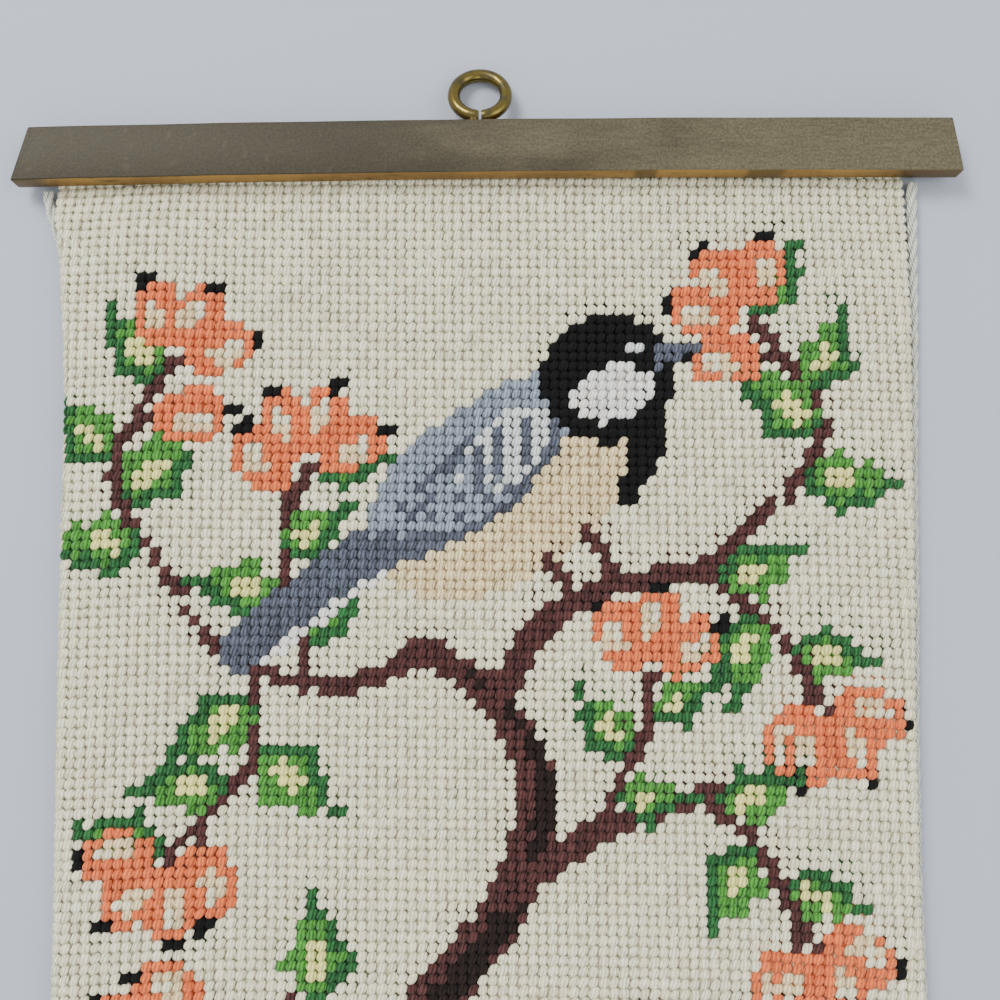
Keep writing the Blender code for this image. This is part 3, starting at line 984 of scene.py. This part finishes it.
def rayonMaterial():
    material, tree, shader = newMaterial("twistedRayon", {"Sheen Weight": 0.1, "Specular IOR Level": 0.7})
    uv = uvOf(tree, "strand")
    along, around, _ = parts(tree, uv)
    lines = ((around * 5.0 + along * 1000.0) * (2 * math.pi)).calc("SINE")
    fine = noise(tree, mapped(tree, uv, (900, 14, 1)), 1.0, 3.0)
    patches = noise(tree, placeOf(tree), 260.0, 2.0)
    share = 0.28 + patches * 0.5 + lines * 0.34 + (fine - 0.5) * 0.9
    share = share.kept(0.0, 1.0)
    feed(shader, "Base Color", share.mixed(linear(cordLook["deep"]), linear(cordLook["pale"])))
    feed(shader, "Roughness", 0.2 + fine * 0.2)
    feed(shader, "Normal", bump(tree, lines * 0.5 + fine, 0.16 * mm, 0.9))
    return material


def makeCord(name, side, tree, rayon):
    way = -1 if side == "left" else 1
    reachColumn, shownColumn = (1, 3) if side == "left" else (2, 4)
    below = np.linspace(0.5 * mm, cloth["length"] - 1.2 * mm, 240)
    reach = (outlineAt(below, reachColumn) + outlineAt(below, shownColumn)) * mm - cloth["cordRadius"]
    x = cloth["centreX"] + way * reach
    line = np.stack([x, cloth["barLowY"] - below, np.full(len(below), cloth["cordRadius"])], 1)
    host = meshObject(name + "Path", line, [])
    host.data.edges.add(len(line) - 1)
    host.data.edges.foreach_set("vertices", [i for k in range(len(line) - 1) for i in (k, k + 1)])
    host.data.update()
    piece = grow(host, tree, {
        "Lay": cordLook["lay"], "Strand Offset": cordLook["strandOffset"],
        "Strand Radius": cordLook["strandRadius"],
        "Step": cordLook["step"], "Sides": cordLook["sides"], "Rayon": rayon}, name)
    mesh, sides = piece.data, cordLook["sides"]
    rings = len(mesh.vertices) // sides // cordLook["strands"]
    uvs = mesh.uv_layers.new(name="strand").data
    for face in mesh.polygons:
        ids = [mesh.loops[i].vertex_index for i in face.loop_indices]
        ks = [i % sides for i in ids]
        wraps = len(ids) == 4 and 0 in ks and sides - 1 in ks
        for place, i, k in zip(face.loop_indices, ids, ks):
            side = sides if wraps and k == 0 else k
            uvs[place].uv = ((i // sides % rings) * cordLook["step"], side / sides)
    return piece


barLook = {
    "length": 210.8 * mm, "height": 12.2 * mm, "thickness": 4.4 * mm, "low": 2.5 * mm,
    "mitreLeft": 3.6 * mm, "mitreRight": 1.9 * mm, "edge": 0.35 * mm,
    "arch": 0.8 * mm,  # the bar is a little bowed, its middle higher
    "lift": 0.2 * mm,
    "waver": 0.03 * mm,
    "cuts": 60,
    "plainEnd": 4 * mm,
    # the face's patina colours: the left one darkened as painted shade, the right one lightened as painted
    # light
    "patinaShadedLeft": "2E2817", "patinaLitRight": "56503A", "spot": "453F2F",
    "worn": "80643A", "wornLight": "A07F48", "scuff": "2C2618", "stain": "5A4A2C", "back": "7A6A42",
    # stains on the lower side: from, to, and how soft their ends are, along the bar
    "stains": ((32 * mm, 37 * mm, 1.5 * mm, 1.5 * mm), (57 * mm, 65 * mm, 1.5 * mm, 2 * mm)),
    "stainedFrom": (90 * mm, 3 * mm), "stainedUpTo": (-101 * mm, 4 * mm),
}


def makeBar():
    half = barLook["length"] / 2
    outline = [(-half, 0), (half, 0), (half - barLook["mitreRight"], barLook["height"]),
               (-half + barLook["mitreLeft"], barLook["height"])]
    work = bmesh.new()
    low = [work.verts.new((x, cloth["barLowY"] + y, barLook["low"])) for x, y in outline]
    base = work.faces.new(low)
    raised = bmesh.ops.extrude_face_region(work, geom=[base])["geom"]
    bmesh.ops.translate(work, verts=[v for v in raised if isinstance(v, bmesh.types.BMVert)],
                        vec=(0, 0, barLook["thickness"]))
    cuts, plain = barLook["cuts"], barLook["plainEnd"]
    for i in range(1, cuts):
        place = -half + plain + (barLook["length"] - 2 * plain) * i / cuts
        bmesh.ops.bisect_plane(work, geom=work.verts[:] + work.edges[:] + work.faces[:],
                               plane_co=(place, 0, 0), plane_no=(1, 0, 0))
    for vert in work.verts:
        share = 1 - (vert.co.x / half) ** 2
        vert.co.y += barLook["lift"] + barLook["arch"] * share
        vert.co.y += barLook["waver"] * math.sin(vert.co.x / mm * 0.19)
        vert.co.z += barLook["waver"] * math.sin(vert.co.x / mm * 0.13 + vert.co.y / mm)
    piece = objectFrom(work, "hangerBar")
    clean(piece)
    edges = piece.modifiers.new("edges", "BEVEL")
    edges.width, edges.segments = barLook["edge"], 3
    edges.limit_method, edges.angle_limit = "ANGLE", math.radians(50)
    finishModifiers(piece)
    clean(piece, 35)
    piece.data.materials.append(barMaterial())
    return piece


def barMaterial():
    material, tree, shader = newMaterial("patinatedBrass", {"Specular IOR Level": 0.5})
    place = placeOf(tree)
    x, _, _ = parts(tree, place)
    facing = addNode(tree, "ShaderNodeNewGeometry", None, None, "Normal")
    _, _, upward = parts(tree, facing)
    centred = mapped(tree, place, location=(0, -cloth["barLowY"], 0))
    grain = noise(tree, mapped(tree, centred, (260, 2300, 500)), 1.0, 4.0, 0.65)
    speckle = noise(tree, centred, 1900.0, 3.0, 0.7)
    cloudy = noise(tree, mapped(tree, centred, (35, 120, 60)), 1.0, 3.0)
    darkSpots = noise(tree, centred, 420.0, 2.0).between(0.6, 0.75)
    # the face runs from dark at the left to lighter at the right: painted shade and light over the patina's
    # colour, made uneven by the cloudy noise
    paintedShadeToLight = (x / barLook["length"] + 0.5 + (cloudy - 0.5) * 0.7).between(0.3, 0.9)
    patinaWithPaintedShade = paintedShadeToLight.mixed(linear(barLook["patinaShadedLeft"]), linear(barLook["patinaLitRight"]))
    mottle = (grain - 0.5) * 1.3 + (speckle - 0.5) * 3.0 + 0.5
    lighter = addNode(tree, "ShaderNodeMix", {"data_type": "RGBA", "blend_type": "MULTIPLY"}, {
        "Factor": 1.0, "A": patinaWithPaintedShade,
        "B": mottle.between(0.0, 1.0).mixed((0.7, 0.7, 0.7, 1), (1.3, 1.3, 1.28, 1))})
    faceColour = (darkSpots * 0.35).mixed(lighter, linear(barLook["spot"]))
    stripNoise = noise(tree, mapped(tree, centred, (42, 300, 90)), 1.0, 3.0)
    strip = (stripNoise + (speckle - 0.5) * 0.3).between(0.35, 0.7)
    strip = strip.mixed(linear(barLook["worn"]), linear(barLook["wornLight"]))
    scuffPlace = mapped(tree, centred, (150, 500, 700), location=(0.3, 0, 0))
    scuffs = noise(tree, scuffPlace, 1.0, 4.0, 0.7).between(0.58, 0.7)
    stained = (x - barLook["stainedFrom"][0]).between(0, barLook["stainedFrom"][1])
    stained = stained + (1 - (x - barLook["stainedUpTo"][0]).between(0, barLook["stainedUpTo"][1]))
    for start, stop, softStart, softStop in barLook["stains"]:
        stained = stained + (x - start).between(0, softStart) * (1 - (x - stop).between(0, softStop))
    stained = stained.calc("MINIMUM", 1.0)
    strip = (scuffs * 0.75).mixed(strip, linear(barLook["scuff"]))
    strip = (stained * 0.8).mixed(strip, linear(barLook["stain"]))
    onFace = (upward + (speckle - 0.5) * 0.25).between(0.45, 0.75)
    back = (upward * -1).between(0.3, 0.6)
    colour = onFace.mixed(strip, faceColour)
    feed(shader, "Base Color", back.mixed(colour, linear(barLook["back"])))
    feed(shader, "Metallic", 0.75 - onFace * 0.35)
    feed(shader, "Roughness", 0.44 + grain * 0.12 + onFace * 0.08)
    feed(shader, "Normal", bump(tree, speckle * 0.5 + grain * 0.5, 0.05 * mm, 0.35))
    return material


eyeLook = {
    "wire": 1.4 * mm, "radius": 5.9 * mm, "tilt": 17.0, "slit": 0.6 * mm,
    "shank": 1.1 * mm, "depth": 8.0 * mm,
    "rise": 0.75 * mm, "high": 5.0 * mm, "gap": 0.3 * mm, "segments": 110, "sides": 22,
    "brass": "6E6030", "bright": "D8C46A", "tarnish": "423C1E",
}


def makeEye():
    tilt, wire, ring = math.radians(eyeLook["tilt"]), eyeLook["wire"], eyeLook["radius"]
    # the eye stands on the bowed bar's middle
    barTop = cloth["barLowY"] + barLook["height"] + eyeLook["rise"]
    slitAngle = eyeLook["slit"] / 2 / ring
    points, faces, count, sides = [], [], eyeLook["segments"], eyeLook["sides"]
    for i in range(count + 1):
        angle = -math.pi / 2 + slitAngle + (2 * math.pi - 2 * slitAngle) * i / count
        near = min(i, count - i)
        share = 1.0 if near > 2 else (0.86, 0.95, 0.99)[near]  # the cut ends are a little rounded
        for j in range(sides):
            a = 2 * math.pi * j / sides
            radius = ring + wire * share * math.cos(a)
            along, up = ring + radius * math.sin(angle), wire * share * math.sin(a)
            points.append((cloth["centreX"] + radius * math.cos(angle),
                           barTop + eyeLook["gap"] + wire + along * math.cos(tilt) + up * math.sin(tilt),
                           eyeLook["high"] - along * math.sin(tilt) + up * math.cos(tilt)))
    for i in range(count):
        for j in range(sides):
            k = (j + 1) % sides
            faces.append((i * sides + j, i * sides + k, (i + 1) * sides + k, (i + 1) * sides + j))
    faces += [tuple(range(sides)), tuple(range(count * sides, (count + 1) * sides))[::-1]]
    piece = meshObject("screwEye", points, faces)
    clean(piece, 40)
    work = bmesh.new()
    shankRadius = eyeLook["shank"]
    bmesh.ops.create_cone(work, cap_ends=True, segments=24, radius1=shankRadius, radius2=shankRadius,
                          depth=eyeLook["depth"] + eyeLook["gap"] + wire)
    middle = barTop + (eyeLook["gap"] + wire - eyeLook["depth"]) / 2
    shankX = cloth["centreX"] - eyeLook["slit"] / 2 - shankRadius
    turn = Matrix.Translation((shankX, middle, eyeLook["high"]))
    bmesh.ops.transform(work, matrix=turn @ Matrix.Rotation(math.radians(-90), 4, "X"), verts=work.verts)
    shank = objectFrom(work, "shank")
    join = piece.modifiers.new("join", "BOOLEAN")
    join.operation, join.object, join.solver = "UNION", shank, "EXACT"
    finishModifiers(piece)
    bpy.data.objects.remove(shank)
    clean(piece, 40)
    piece.data.materials.clear()
    piece.data.materials.append(eyeMaterial())
    return piece


def eyeMaterial():
    material, tree, shader = newMaterial("oldPolishedBrass", {
        "Coat Roughness": 0.08, "Specular IOR Level": 0.6})
    place = placeOf(tree)
    cloudy = noise(tree, place, 260.0, 3.0, 0.6)
    fine = noise(tree, place, 2600.0, 3.0, 0.7)
    tarnish = (cloudy + (fine - 0.5) * 0.4).between(0.42, 0.62)
    colour = tarnish.mixed(linear(eyeLook["brass"]), linear(eyeLook["tarnish"]))
    feed(shader, "Base Color", (fine.between(0.62, 0.75) * 0.3).mixed(colour, linear(eyeLook["bright"])))
    feed(shader, "Metallic", 0.95 - tarnish * 0.3)
    feed(shader, "Roughness", 0.2 + tarnish * 0.18 + fine * 0.06)
    feed(shader, "Normal", bump(tree, fine + cloudy * 0.5, 0.03 * mm, 0.3))
    return material


cameraLook = {
    "aim": (2.09 * mm, 143.9 * mm, 2.5 * mm),
    "away": 227.0 * mm,
    "tilt": 5.46,  # degrees from straight down, from the foot's side
    "roll": 0.6,
    "lens": 37.44,
}
lightLook = {
    "sky": (0.86, 0.87, 0.90),
    "skyStrength": 1.2,
    # name, place, size and power of each lamp, and the place that they all face
    "lamps": (("key", (-0.55, 0.75, 0.9), 0.5, 15.5), ("fill", (0.8, 0.1, 0.8), 0.7, 4.0),
              ("rim", (0.15, -0.7, 0.7), 0.6, 2.2)),
    "target": (0, 0.12, 0),
    "floor": "A9AFBA",
    "floorSize": 3.0,
    "floorGap": 0.03 * mm,  # the floor lies this far under the panel
}


def makeStage():
    work = bmesh.new()
    bmesh.ops.create_grid(work, x_segments=1, y_segments=1, size=lightLook["floorSize"])
    floor = objectFrom(work, "floor")
    floor.location.z = -lightLook["floorGap"]
    material, _, shader = newMaterial("paleFloor", {"Roughness": 0.9, "Specular IOR Level": 0.2})
    shader.inputs["Base Color"].default_value = linear(lightLook["floor"])
    floor.data.materials.append(material)
    floor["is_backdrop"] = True
    world = bpy.data.worlds.new("studio")
    bpy.context.scene.world = world
    world.use_nodes = True
    background = world.node_tree.nodes["Background"]
    background.inputs["Color"].default_value = (*lightLook["sky"], 1)
    background.inputs["Strength"].default_value = lightLook["skyStrength"]
    for name, place, size, power in lightLook["lamps"]:
        light = bpy.data.lights.new(name, "AREA")
        light.size, light.energy = size, power
        lamp = newObject(name, light)
        lamp.location = place
        ahead = Vector(lightLook["target"]) - Vector(place)
        lamp.rotation_euler = ahead.to_track_quat("-Z", "Y").to_euler()


def makeCamera():
    tilt, roll = math.radians(cameraLook["tilt"]), math.radians(cameraLook["roll"])
    ahead = Vector((0, math.sin(tilt), -math.cos(tilt)))
    up, right = Vector((0, math.cos(tilt), math.sin(tilt))), Vector((1, 0, 0))
    sideways = right * math.cos(roll) - up * math.sin(roll)
    upwards = up * math.cos(roll) + right * math.sin(roll)
    data = bpy.data.cameras.new("camera")
    data.lens, data.sensor_width, data.clip_start = cameraLook["lens"], 36.0, 0.01
    camera = newObject("camera", data)
    turn = Matrix((sideways, upwards, -ahead)).transposed().to_4x4()
    camera.matrix_world = Matrix.Translation(Vector(cameraLook["aim"]) - ahead * cameraLook["away"]) @ turn
    bpy.context.scene.camera = camera


makeStage()
makeCamera()
print("stage, lights and camera ready")
stitches = makeStitches()
canvas = makeCanvas()
print("canvas made")
rayon, wound = rayonMaterial(), cordTree()
cordLeft = makeCord("edgeCordLeft", "left", wound, rayon)
cordRight = makeCord("edgeCordRight", "right", wound, rayon)
print("edging cords made")
bar = makeBar()
eye = makeEye()
print("bar and screw eye made")

for piece, node, slot in (
    (canvas, "panel", "wool_on_canvas"),
    (cordLeft, "edge_cord_left", "edging_cord"),
    (cordRight, "edge_cord_right", "edging_cord"),
    (bar, "hanger_bar", "bar_metal"),
    (eye, "screw_eye", "eye_metal"),
):
    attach(piece, "root")
    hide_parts(node)
for piece in stitches:
    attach(piece, "root")

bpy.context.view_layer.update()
triangles = {p.name: sum(len(f.vertices) - 2 for f in p.data.polygons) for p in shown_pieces()}
print(f"{sum(triangles.values())} triangles in {len(triangles)} pieces")
